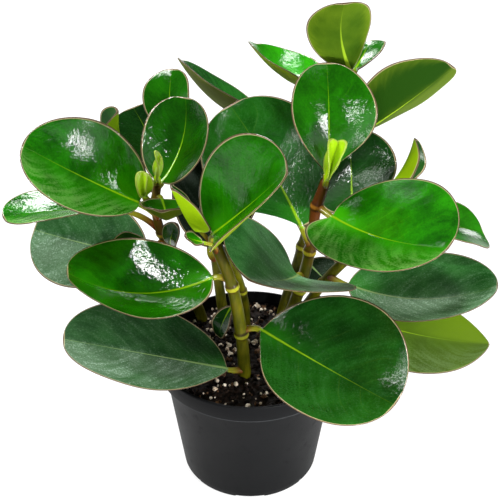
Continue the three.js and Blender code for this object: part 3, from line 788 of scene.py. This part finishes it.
# %% Leaf finish
def leaf_finish(name, dark, light, rib, under, under_pale_and_lit, bright_and_lit_green, bloom_and_sheen=0.06, gloss=0.2, shine=0.3, rim=1.0,
                painted_halves=0.0, dry=0.0, rib_fade=0.9, tip_glow=0.0):
    """Streaky green above, matt and yellower below, and a pale rim with a thin brown line round it.

    The two under colours are the lower face's; the paler one is for its margin and rib and, as painted
    light, its lit half. The glow colour is the brightest green of the upper one, and also paints its lit
    half.
    The bloom share is whitish powder, partly a painted sheen; the halves share is how much one half is
    painted lighter than the other, as painted light; and dry is how matt the darker half is. rib_fade and
    tip_glow: how far the rib fades and the blade brightens towards the tip.
    """
    paint = Paint(name, Specular_IOR_Level=shine)
    along, across = paint.own("along"), paint.own("across")
    from_rib, from_rim = paint.own("from_rib"), paint.own("from_rim")
    upper, stalk, seed = paint.own("upper"), paint.own("stalk"), paint.own("seed")
    half, gleam, dust = paint.own("half"), paint.own("gleam"), paint.own("dust")
    aside = across.maths("ABSOLUTE", 0)
    patches = paint.cloud(PATCH_SIZE, detail=3)
    speckle = paint.cloud(SPECKLE_SIZE, detail=4)
    fine = paint.cloud(FINE_SIZE, detail=2)

    # Streaks run the way the side veins do: out from the rib, then round towards the tip.
    vein_line = along * SIDE_VEINS - aside ** 1.3 * VEIN_CURVE + patches * 0.25
    streak_place = paint.node("ShaderNodeCombineXYZ", X=vein_line * STREAKS_ALONG,
                              Y=across * STREAKS_ACROSS, Z=seed * SEED_SHIFT)
    streaks = paint.node("ShaderNodeTexNoise", Vector=streak_place, Scale=1.0, Detail=5.0)
    mottle = patches * 0.55 + streaks * 0.2 + speckle * 0.2 + seed * 0.1
    face = paint.blend(paint.ramp(mottle, 0.30, 0.72), dark, light)

    # One half is painted a little brighter, as painted light on its lit side, and so is the blade towards
    # the foot of the rib. A pale young blade is also brighter towards its tip, most of all on the half that
    # is not painted as lit.
    lit_half = paint.ramp(half, -0.15, 0.15)
    face = paint.blend(paint.ramp(half, -0.08, 0.08) * (painted_halves * 0.6), face, bright_and_lit_green)
    near_foot = (1 - along) ** 2.2 * (1 - paint.ramp(from_rib, 1.0, 16.0) * 0.85)
    face = paint.blend(paint.ramp(near_foot, 0.12, 0.9) * 0.75, face, bright_and_lit_green)
    face = paint.blend(paint.ramp(along, 0.1, 0.9) * (1 - lit_half * 0.65) * tip_glow, face, bright_and_lit_green)

    # Side veins hardly show: a thin lighter thread here and there.
    saw = vein_line.maths("PINGPONG", 0.5)
    near_rib = 1 - paint.ramp(aside, 0.45, 0.85)
    thread = (1 - paint.ramp(saw, 0.0, VEIN_WIDTH)) * near_rib * paint.ramp(streaks, 0.4, 0.6)
    face = paint.blend(thread * 0.05, face, rib)
    face = paint.blend(paint.ramp(speckle, 0.56, 0.74) * 0.12, face, light)

    # Old leaves carry a whitish powder, painted partly as a sheen: a streaky haze with flecks in it, thin on
    # the half painted darker. Some glossy leaves have a yellowish film on the half painted as lit, partly
    # dust and partly a painted sheen, broken up by the same streaks.
    haze = paint.ramp(streaks * 0.4 + speckle * 0.35 + fine * 0.25 + patches * 0.25, 0.48, 0.80)
    flecks = paint.ramp(speckle * 0.6 + streaks * 0.4, 0.54, 0.64)
    powder_and_sheen = (haze * 0.55 + flecks * 0.6) * (1 - (1 - lit_half) * painted_halves)
    face = paint.blend(powder_and_sheen * bloom_and_sheen, face, POWDER_AND_SHEEN)
    film_and_sheen = paint.ramp(aside + streaks * 0.4, 0.2, 1.0) * paint.ramp(streaks * 0.6 + speckle * 0.4, 0.38, 0.60)
    face = paint.blend(film_and_sheen * lit_half * dust, face, DUST_AND_SHEEN)

    # The lower face is matt. One half of it is painted lighter, as painted light, and its margin is paler.
    lit = paint.ramp(half + patches * 0.5, 0.0, 0.55) * 0.7
    lit = lit + paint.ramp(aside + streaks * 0.4, 0.8, 1.3) * 0.5
    back = paint.blend(lit, under, under_pale_and_lit)
    colour = paint.blend(upper, back, face)
    # Each leaf's colour is scaled by its tone: partly its own tone of green, partly painted light and shade,
    # with leaves shaded by others painted darker and well-lit ones lighter.
    tone = paint.own("tone")
    colour = paint.node("ShaderNodeVectorMath", {"operation": "SCALE"}, Vector=colour, Scale=tone)

    # The rib is a bright line that thins out and fades towards the tip.
    rib_width = (1 - along) ** 2.4 * RIB_FOOT + RIB_TIP
    on_rib = 1 - paint.ramp(from_rib / rib_width, 0.6, 1.5)
    rib_line = on_rib * (1 - paint.ramp(along, 0.25, 0.92) * rib_fade)
    colour = paint.blend(rib_line, colour, paint.blend(upper, under_pale_and_lit, rib))

    # The rim: a narrow pale band inside a red-brown line.
    pale = 1 - paint.ramp(from_rim, *RIM_BAND)
    line = 1 - paint.ramp(from_rim, *RIM_LINE)
    colour = paint.blend(pale * (0.75 * rim), colour, RIM_PALE)
    colour = paint.blend(line * (0.85 * rim), colour, RIM_BROWN)

    # The stalk is olive, and red-brown where it leaves the stem.
    stalk_skin = paint.blend(paint.ramp(stalk + patches * 0.2, 0.35, 0.95), STALK_OLIVE, STALK_RED)
    colour = paint.blend(paint.ramp(stalk, 0.0, 0.08), colour, stalk_skin)

    # Small dents and ripples break a lamp's mirror image into flecks. Heights are in millimetres.
    ripple = paint.cloud(RIPPLE_SIZE, detail=2)
    height = fine * 0.006 + speckle * 0.075 + ripple * 0.14 + streaks * 0.12 + patches * 0.6
    relief = paint.relief(height * gleam, 1.0)
    paint.finish(Base_Color=colour, Roughness=gloss + powder_and_sheen * (bloom_and_sheen * 0.5), Normal=relief)
    waxy = upper * gleam * (1 - (1 - lit_half) * dry)
    return paint.wax_over(waxy, Base_Color=colour, Normal=relief)


print("leaf finish ready")

# %% Looks of the leaves
# In each look the brightest green also paints the lit half of the upper face as painted light, and the paler
# under colour paints the lit half of the lower face.
LEAF_FINISHES = {
    "glossy": leaf_finish("leaf_glossy", dark=(0.002, 0.040, 0.0003), light=(0.013, 0.175, 0.001),
                          rib=(0.19, 0.40, 0.003), under=(0.10, 0.15, 0.003), under_pale_and_lit=(0.16, 0.22, 0.006),
                          bright_and_lit_green=(0.028, 0.240, 0.001), bloom_and_sheen=0, gloss=0.08, shine=0.4, painted_halves=0.3),
    "deep": leaf_finish("leaf_deep", dark=(0.002, 0.026, 0.002), light=(0.007, 0.084, 0.004),
                        rib=(0.17, 0.32, 0.006), under=(0.04, 0.055, 0.002), under_pale_and_lit=(0.09, 0.12, 0.008),
                        bright_and_lit_green=(0.012, 0.120, 0.003), bloom_and_sheen=0.04, gloss=0.11, painted_halves=0.35),
    "dull": leaf_finish("leaf_dull", dark=(0.003, 0.030, 0.004), light=(0.012, 0.074, 0.010),
                        rib=(0.20, 0.32, 0.10), under=(0.02, 0.04, 0.006), under_pale_and_lit=(0.04, 0.07, 0.01),
                        bright_and_lit_green=(0.012, 0.090, 0.006), bloom_and_sheen=0.6, gloss=0.38, shine=0.14, painted_halves=0.85,
                        dry=0.7, rib_fade=0.5),
    "young": leaf_finish("leaf_young", dark=(0.003, 0.045, 0.0004), light=(0.010, 0.090, 0.001),
                         rib=(0.20, 0.34, 0.003), under=(0.24, 0.43, 0.002), under_pale_and_lit=(0.34, 0.56, 0.002),
                         bright_and_lit_green=(0.05, 0.17, 0.001), bloom_and_sheen=0),
    "pale": leaf_finish("leaf_pale", dark=(0.020, 0.070, 0.0006), light=(0.075, 0.19, 0.001),
                        rib=(0.24, 0.42, 0.004), under=(0.07, 0.13, 0.004), under_pale_and_lit=(0.17, 0.25, 0.02),
                        bright_and_lit_green=(0.27, 0.48, 0.001), bloom_and_sheen=0, gloss=0.4, shine=0.12, painted_halves=0.1, tip_glow=0.9),
    "olive": leaf_finish("leaf_olive", dark=(0.003, 0.045, 0.0004), light=(0.010, 0.090, 0.001),
                         rib=(0.14, 0.24, 0.005), under=(0.022, 0.105, 0.0003),
                         under_pale_and_lit=(0.25, 0.40, 0.015), bright_and_lit_green=(0.03, 0.12, 0.001), bloom_and_sheen=0),
    "bud": leaf_finish("leaf_bud", dark=(0.23, 0.40, 0.001), light=(0.34, 0.56, 0.001),
                       rib=(0.32, 0.52, 0.002), under=(0.26, 0.46, 0.001), under_pale_and_lit=(0.36, 0.58, 0.001),
                       bright_and_lit_green=(0.28, 0.48, 0.001), gloss=0.3, rim=0.3),
}
SLOTS = {"olive": "leaf_pale", "bud": "leaf_young"}
print(len(LEAF_FINISHES), "leaf finishes")

# %% [markdown]
# ## Leaf form
# A blade is a formula and not a drawing. Its width swells and shrinks between base and tip, both halves
# rise from the midrib like a shallow boat, and the midrib itself bends and twists. One formula with a few
# numbers for each leaf keeps them one family, and lets every leaf be set to its own place.

# %% Leaf form
WIDEST_SHIFT = 1.2
FOLD_POWER = 1.4
LOBE_REACH = 12


def leaf(name, look, foot, base, tip, faces, width, **bends):
    """One leaf, in millimetres and degrees. foot is where the stalk leaves the stem, and base where the
    blade starts. faces is the way that its upper face looks. Left is as seen from its base.

    arch and sway: how far the midrib bends up and to the left. cup: how steeply each half rises from it.
    twist: the turn from base to tip. shoulder and taper: how pointed the blade's base and tip are.
    lobe and skew: how far its corners reach back past the base, as shares of its length, on both sides
    and more on the left. wave: how far its margin ripples.
    tone: its brightness, partly its own and partly painted light and shade. light_side: 1 if its left
    half is the one painted as lit, -1 if its right half is, and 0 if neither. gleam: how waxy it is.
    dust: how much yellowish film, partly dust and partly painted sheen, lies on it.
    """
    facts = dict(tone=1, light_side=1, gleam=1, dust=0, arch=2, sway=0, cup=14, twist=0, shoulder=0.55,
                 taper=0.46, lobe=0.04, skew=0, wave=0.6, stalk_radius=1.9)
    facts.update(name=name, look=look, foot=np.array(foot, float), base=np.array(base, float),
                 tip=np.array(tip, float), faces=np.array(faces, float), width=width)
    facts.update(bends)
    facts["along"] = unit(facts["tip"] - facts["base"])
    facts["up"] = unit(facts["faces"] - facts["along"] * (facts["faces"] @ facts["along"]))
    facts["across"] = np.cross(facts["up"], facts["along"])
    return facts


def unit(vector):
    return vector / np.linalg.norm(vector, axis=-1, keepdims=True)


def half_width(form, u):
    """Half the blade's width in millimetres, u running from its base to its tip."""
    shifted = u ** WIDEST_SHIFT
    power = form["shoulder"] + (form["taper"] - form["shoulder"]) * u
    return form["width"] / 2 * np.maximum(4 * shifted * (1 - shifted), 0) ** power


def blade(form, u, v):
    """Points of the blade's middle surface: v runs from the right margin, -1, to the left, 1."""
    length = np.linalg.norm(form["tip"] - form["base"])
    least = form["stalk_radius"] * (1 - smooth(u, 0.5, 1.0))
    out = v * np.maximum(half_width(form, u), least)
    turn = np.radians(form["twist"]) * (u - 0.5)
    bow = 4 * u * (1 - u)
    fold = math.tan(math.radians(form["cup"])) * (1.15 - 0.5 * u)
    lift = np.abs(out) ** FOLD_POWER * (form["width"] / 2) ** (1 - FOLD_POWER) * fold
    wave = form["wave"] * v * v * np.sin(u * 3 * math.pi + np.where(v > 0, 0, 1.8)) * bow
    near_base = (1 - u) ** 3 * (1 - (1 - u) ** LOBE_REACH)
    corner = length * near_base * v * v * (form["lobe"] + form["skew"] * v)
    rise = form["arch"] * bow + lift * np.cos(turn) + out * np.sin(turn) + wave
    aside = form["sway"] * bow + out * np.cos(turn) - lift * np.sin(turn)
    return (form["base"] + (u * length - corner)[:, None] * form["along"]
            + rise[:, None] * form["up"] + aside[:, None] * form["across"])


print("leaf form ready")

# %% Grow one leaf
LEAF_RINGS = 66
LEAF_SIDES = 44
STALK_SHARE = 0.2
RIB_THICKNESS = 2.2
RIB_TIP_THICKNESS = 1.3
MARGIN_THICKNESS = 0.9
RIB_FADE = 1.4
RIB_GROOVE = 0.35
GROOVE_WIDTH = 1.3
RIB_KEEL = 0.7
KEEL_WIDTH = 1.8
RIM_ROUNDNESS = 5
SLOPE_STEP = 0.004
END_SHARE = 0.02
STALK_FLARE = 0.25
STALK_FLATNESS = 0.85
FAR_FROM_RIM = 9.0


def stalk_line(form, t):
    """The stalk bends from its foot into the line of the rib."""
    into = unit(blade(form, np.array([0.06]), np.array([0.0]))[0] - form["base"])
    bend = form["base"] - into * np.linalg.norm(form["base"] - form["foot"]) * 0.5
    t = t[:, None]
    place = form["foot"] * (1 - t) ** 2 + bend * 2 * t * (1 - t) + form["base"] * t ** 2
    heading = unit((bend - form["foot"]) * 2 * (1 - t) + (form["base"] - bend) * 2 * t + 1e-9)
    return place, heading


def slope_across(form, u, v):
    """The way from right to left over the blade's middle surface, at each point."""
    left, right = np.clip(v + SLOPE_STEP, -1, 1), np.clip(v - SLOPE_STEP, -1, 1)
    return blade(form, u, left) - blade(form, u, right)


def grow_leaf(form, material, slot, solids, suffix="_leaf", rings=LEAF_RINGS, sides=LEAF_SIDES):
    """Moves the points of a ball to a stalk and a blade, and stores what the finish reads at each."""
    piece, run, turn = ball(rings, sides)
    on_stalk = run < STALK_SHARE
    t = np.clip(run / STALK_SHARE, 0, 1)
    u = (1 - np.cos(math.pi * np.clip((run - STALK_SHARE) / (1 - STALK_SHARE), 0, 1))) / 2
    u = np.where(run > 0.9999, 1.0, u)
    cosine, sine = np.cos(turn), np.sin(turn)
    v = np.sign(cosine) * np.abs(cosine) ** 1.5

    # Blade: the middle surface, plus half the thickness on each face.
    slope = slope_across(form, np.clip(u, END_SHARE, 1 - END_SHARE), v)
    normal = unit(np.cross(form["along"], slope))
    half = np.maximum(half_width(form, u), form["stalk_radius"] * (1 - smooth(u, 0.5, 1.0)))
    from_rib = np.abs(v) * half
    length = np.linalg.norm(form["tip"] - form["base"])
    from_rim = np.minimum((1 - np.abs(v)) * half, (1 - u) * length)
    rib = RIB_THICKNESS + (RIB_TIP_THICKNESS - RIB_THICKNESS) * u
    thickness = rib + (MARGIN_THICKNESS - rib) * np.minimum(1, np.abs(v) * RIB_FADE)
    round_rim = np.sign(sine) * (1 - (1 - np.abs(sine)) ** RIM_ROUNDNESS)
    taper = np.sqrt(smooth(1 - u, -0.0005, 0.01))
    height = thickness / 2 * round_rim * taper
    groove = np.exp(-(from_rib / GROOVE_WIDTH) ** 2) * (1 - u) ** 0.7
    keel = np.exp(-(from_rib / KEEL_WIDTH) ** 2) * (1 - u)
    height -= np.where(sine > 0, RIB_GROOVE * groove, RIB_KEEL * keel) * smooth(u, 0.0, 0.1)
    blade_points = blade(form, u, v) + normal * height[:, None]

    # Stalk: a slightly flattened rod, which takes the blade's own section where they meet.
    place, heading = stalk_line(form, t)
    up = unit(form["up"] - heading * (heading @ form["up"])[:, None])
    across = np.cross(up, heading)
    radius = form["stalk_radius"] * (1 + STALK_FLARE * (1 - t) ** 3) * np.sqrt(smooth(t, -0.02, 0.06))
    meet = smooth(t, 0.55, 1.0)
    rise = radius * STALK_FLATNESS * sine * (1 - meet) + height * meet
    spread = radius * (cosine * (1 - meet) + v * meet)
    stalk_points = place + across * spread[:, None] + up * rise[:, None]

    points = np.where(on_stalk[:, None], stalk_points, blade_points)
    mould(piece, lambda _: points * MM)
    write_values(
        piece, along=u, across=v, half=v * form["light_side"],
        from_rib=from_rib, from_rim=np.where(on_stalk, FAR_FROM_RIM, from_rim),
        upper=smooth(sine, -0.08, 0.08), stalk=np.where(on_stalk, 1 - t, 0.0),
        seed=np.full(len(u), sum(map(ord, form["name"])) % 17 / 17),
        **{name: np.full(len(u), form[name]) for name in ("tone", "gleam", "dust")},
    )
    pick(piece)
    bpy.ops.object.mode_set(mode="EDIT")
    turn_faces_out()
    return settle(piece, form["name"] + suffix, material, solids)


print("leaf maker ready")

# %% [markdown]
# ## Every leaf in its place
# Each row is one leaf. The numbers of the large leaves were first fitted to their outlines in the
# photograph, by a small program outside this script. They were then rounded, and many were changed by eye.
# Small and hidden leaves are set from how the plant grows, and how far each leaf lies from the viewer is
# a guess. Old leaves are dull and dusty, the ones at the shoots young and bright.

# %% Leaves
LEAVES = [
    # On the front stem.
    leaf("front_low", "dull", (-4, -20, 82), (-13, -24, 85), (-102, -34, 114), (0.3, 0, 0.95),
         width=74, arch=0, cup=13, twist=6, lobe=-0.02, skew=-0.08),
    leaf("front_right", "deep", (-5, -21, 109), (6, -24, 113), (75, -80, 107), (-0.1, -0.25, 0.96),
         tone=0.95, light_side=-1, width=79, arch=-3, sway=1, cup=27, twist=5, shoulder=0.63, lobe=0,
         skew=0.08),
    leaf("front_left", "glossy", (-10, -25, 146), (-20, -25, 149), (-96, -36, 160), (0.17, -0.15, 0.97),
         tone=0.7, width=60, arch=-11, sway=3, cup=26, twist=25, shoulder=0.59, skew=0.05),
    leaf("front_spoon", "glossy", (-18, -28, 171), (-19, -30, 180), (18, -56, 233), (-0.84, -0.21, 0.5),
         tone=1.0, light_side=0, width=61, arch=-1, cup=36, twist=-17, shoulder=0.75, lobe=0.12, skew=0.12),
    leaf("front_young", "young", (-16, -27, 166), (-27, -18, 175), (-40, -26, 206), (0.88, 0.45, 0.2),
         width=23, arch=-2, sway=7, cup=34, twist=6, stalk_radius=1.4),
    leaf("front_small", "glossy", (-18, -28, 167), (-24, -39, 181), (-33, -43, 188), (0.3, -0.2, 0.9),
         width=9, arch=-1, cup=24, stalk_radius=1.2),
    # On the left stem.
    leaf("left_glossy", "glossy", (-51, 14, 162), (-60, 2, 179), (-116, -16, 225), (0.62, -0.5, 0.6),
         tone=1.1, dust=0.2, width=52, sway=2, cup=34, twist=-24, shoulder=0.49, lobe=0.05, skew=-0.1),
    leaf("left_far", "glossy", (-50, 16, 152), (-72, 15, 166), (-132, -8, 176), (0.06, 0.3, 0.95),
         tone=1.5, dust=0.35, width=49, sway=1, twist=-20),
    leaf("left_dull", "dull", (-46, 21, 135), (-59, 13, 136), (-127, 45, 134), (-0.28, -0.54, 0.79),
         tone=1.2, width=57, arch=-3, cup=12, twist=-12),
    leaf("left_upright", "glossy", (-50, 12, 184), (-48, 12, 186), (-35, 41, 223), (-0.43, -0.62, 0.65),
         tone=0.5, light_side=0, width=42, arch=-3, sway=-4, cup=28, twist=-8, shoulder=0.52, lobe=0.08,
         skew=-0.04),
    leaf("left_shelf", "glossy", (-51, 12, 174), (-48, 5, 180), (-46, -24, 191), (0.05, 0.34, 0.94),
         tone=0.5, width=29, arch=-7, sway=3, cup=32, shoulder=0.6, stalk_radius=1.4),
    leaf("left_shade", "deep", (-45, 21, 134), (-44, 14, 143), (-40, 8, 162), (-0.5, -0.7, 0.5),
         tone=0.8, width=14, cup=20, stalk_radius=1.3),
    leaf("left_flat", "deep", (-48, 18, 147), (-57, 10, 147), (-76, 3, 151), (0.1, -0.05, 1),
         width=14, cup=20, stalk_radius=1.3),
    # On the back left stem.
    leaf("back_left_top", "glossy", (-33, 46, 190), (-43, 46, 199), (-43, 62, 230), (-0.45, -0.65, 0.6),
         tone=0.7, light_side=0, width=31, arch=3, cup=20),
    leaf("back_left_dark", "deep", (-27, 44, 172), (-50, 50, 176), (-68, 77, 198), (0.1, -0.5, 0.86),
         tone=0.3, width=44),
    leaf("back_left_tall", "dull", (-20, 32, 122), (-23, 28, 133), (-17, 46, 196), (0.1, -0.95, 0.3),
         tone=0.12, gleam=0.2, width=50),
    leaf("back_left_small", "young", (-51, 13, 179), (-69, 30, 192), (-71, 27, 222), (-0.88, 0, 0.45),
         tone=0.8, gleam=0.15, width=28, cup=45, skew=0.05, stalk_radius=1.4),
    # On the slim stem.
    leaf("slim_sprout", "deep", (-2, 16, 96), (-10, 9, 105), (-18, 4, 86), (-0.6, -0.6, 0.3),
         tone=0.5, width=13, cup=25, stalk_radius=1.2),
    # On the middle stem.
    leaf("middle_round", "deep", (34, 18, 140), (29, 17, 154), (-11, 38, 220), (-0.1, -0.9, 0.4),
         width=70, arch=0, sway=-2, cup=4, shoulder=0.85, lobe=0, skew=-0.15),
    leaf("middle_top", "glossy", (42, 20, 182), (42, 21, 187), (41, 41, 244), (0.3, -0.88, 0.35),
         tone=0.75, light_side=0, width=48, arch=3, cup=28, twist=-28, shoulder=0.65, lobe=-0.07),
    leaf("middle_right", "glossy", (37, 19, 168), (45, 9, 166), (100, -50, 185), (-0.35, 0.01, 0.94),
         tone=1.45, gleam=0.7, dust=0.22, light_side=-1, width=73, arch=-2, sway=-4, cup=24, twist=12,
         shoulder=0.67, lobe=0.22, skew=-0.03),
    leaf("middle_viewer", "dull", (31, 18, 121), (27, 11, 125), (-1, -49, 165), (0.48, 0.33, 0.81),
         tone=1.7, gleam=0.6, width=77, arch=0, sway=4, cup=29, twist=2, shoulder=0.48, lobe=0.15,
         skew=-0.16),
    # On the tall stem at the back.
    leaf("tall_crown", "olive", (56, 50, 227), (54, 46, 237), (49, 34, 281), (-0.15, 0.96, 0.24),
         tone=0.58, light_side=0, width=35, arch=3, sway=-3, cup=19, twist=-18),
    leaf("tall_behind", "glossy", (56, 51, 224), (58, 56, 232), (67, 77, 240), (-0.12, 0.04, 1),
         tone=0.9, width=25, arch=2, sway=-2, cup=26),
    leaf("tall_left", "glossy", (53, 54, 214), (40, 50, 224), (3, 88, 233), (0.34, 0.17, 0.92),
         tone=2.2, width=45, arch=-7, sway=-2, cup=28, twist=9),
    leaf("tall_right", "olive", (51, 55, 200), (62, 48, 198), (110, 47, 239), (-0.37, 0.83, 0.43),
         tone=0.42, width=54, arch=-3, sway=-3, cup=21, twist=3, shoulder=0.58, lobe=0, skew=-0.09),
    leaf("tall_edge", "deep", (45, 55, 176), (14, 58, 197), (-40, 96, 219), (0.53, 0.31, 0.79),
         tone=1.5, width=57, arch=-8, cup=21),
    leaf("tall_low", "dull", (27, 45, 105), (34, 45, 111), (47, 44, 96), (0.1, -0.8, 0.6),
         tone=0.2, gleam=0.4, width=25, cup=12, stalk_radius=1.4),
    # On the right stem.
    leaf("right_shade", "deep", (66, 22, 142), (58, 34, 156), (55, 42, 203), (0.1, -0.95, 0.3),
         tone=0.5, width=50, lobe=0.12, skew=0.1),
    leaf("right_young", "young", (82, 29, 169), (79, 25, 176), (91, 35, 201), (0.95, -0.3, 0.1),
         tone=0.6, gleam=0.4, width=20, cup=44, stalk_radius=1.4),
    leaf("right_tip", "glossy", (76, 24, 155), (96, 25, 151), (136, 37, 136), (0.5, 0, 0.85),
         tone=1.3, gleam=0.6, width=40, twist=10, taper=0.3),
    leaf("right_long", "dull", (46, 22, 117), (56, 10, 119), (138, -6, 130), (-0.11, 0, 0.99),
         tone=1.9, light_side=-1, width=68, arch=-7, sway=-4, cup=19, twist=-12, taper=0.52, lobe=0.03),
    leaf("right_low", "pale", (38, 26, 100), (56, 12, 97), (139, 0, 84), (0.18, -0.1, 0.97),
         tone=0.6, gleam=0.5, light_side=-1, dust=0.5, width=68, arch=-3, sway=-2, cup=3, twist=-21,
         taper=0.75),
]

for form in LEAVES:
    look = form["look"]
    grow_leaf(form, LEAF_FINISHES[look], SLOTS.get(look, "leaf_" + look), ["leaf_" + form["name"]])
print(len(LEAVES), "leaves")

# %% [markdown]
# ## Shoot tips
# At the end of a shoot two young blades still lie folded against each other, bright yellow-green. They
# are leaves like the others, only small, narrow and without a stalk of their own to speak of.

# %% Shoot tips
BUD_RINGS = 40
BUD_SIDES = 28

# Each blade: foot, base, tip, the way its upper face looks, and width.
BUDS = {
    "middle": [((42, 18, 180), (41, 12, 188), (42, 8, 215), (0.8, -0.5, 0.2), 15),
               ((42, 18, 180), (42, 12, 188), (51, 10, 213), (-0.8, -0.5, 0.5), 12)],
    "left_high": [((-50, 12, 186), (-51, 7, 190), (-50, 3, 211), (0.9, -0.3, 0), 7),
                  ((-50, 12, 186), (-49, 7, 190), (-47, 4, 207), (-0.9, -0.4, 0), 6)],
    "left_low": [((-52, 11, 175), (-57, 3, 183), (-59, 0, 200), (0.6, -0.8, 0.2), 11),
                 ((-52, 11, 175), (-56, 3, 183), (-55, 0, 199), (-0.7, -0.7, 0.1), 8)],
}

for bud_name, blades in BUDS.items():
    for number, (foot, base, tip, faces, width) in enumerate(blades):
        form = leaf("bud_" + bud_name, "bud", foot, base, tip, faces, width, cup=22, wave=0, stalk_radius=1.2)
        grow_leaf(form, LEAF_FINISHES["bud"], SLOTS["bud"], ["bud_" + bud_name], f"_blade_{number + 1}",
                  BUD_RINGS, BUD_SIDES)
print(len(BUDS), "shoot tips")
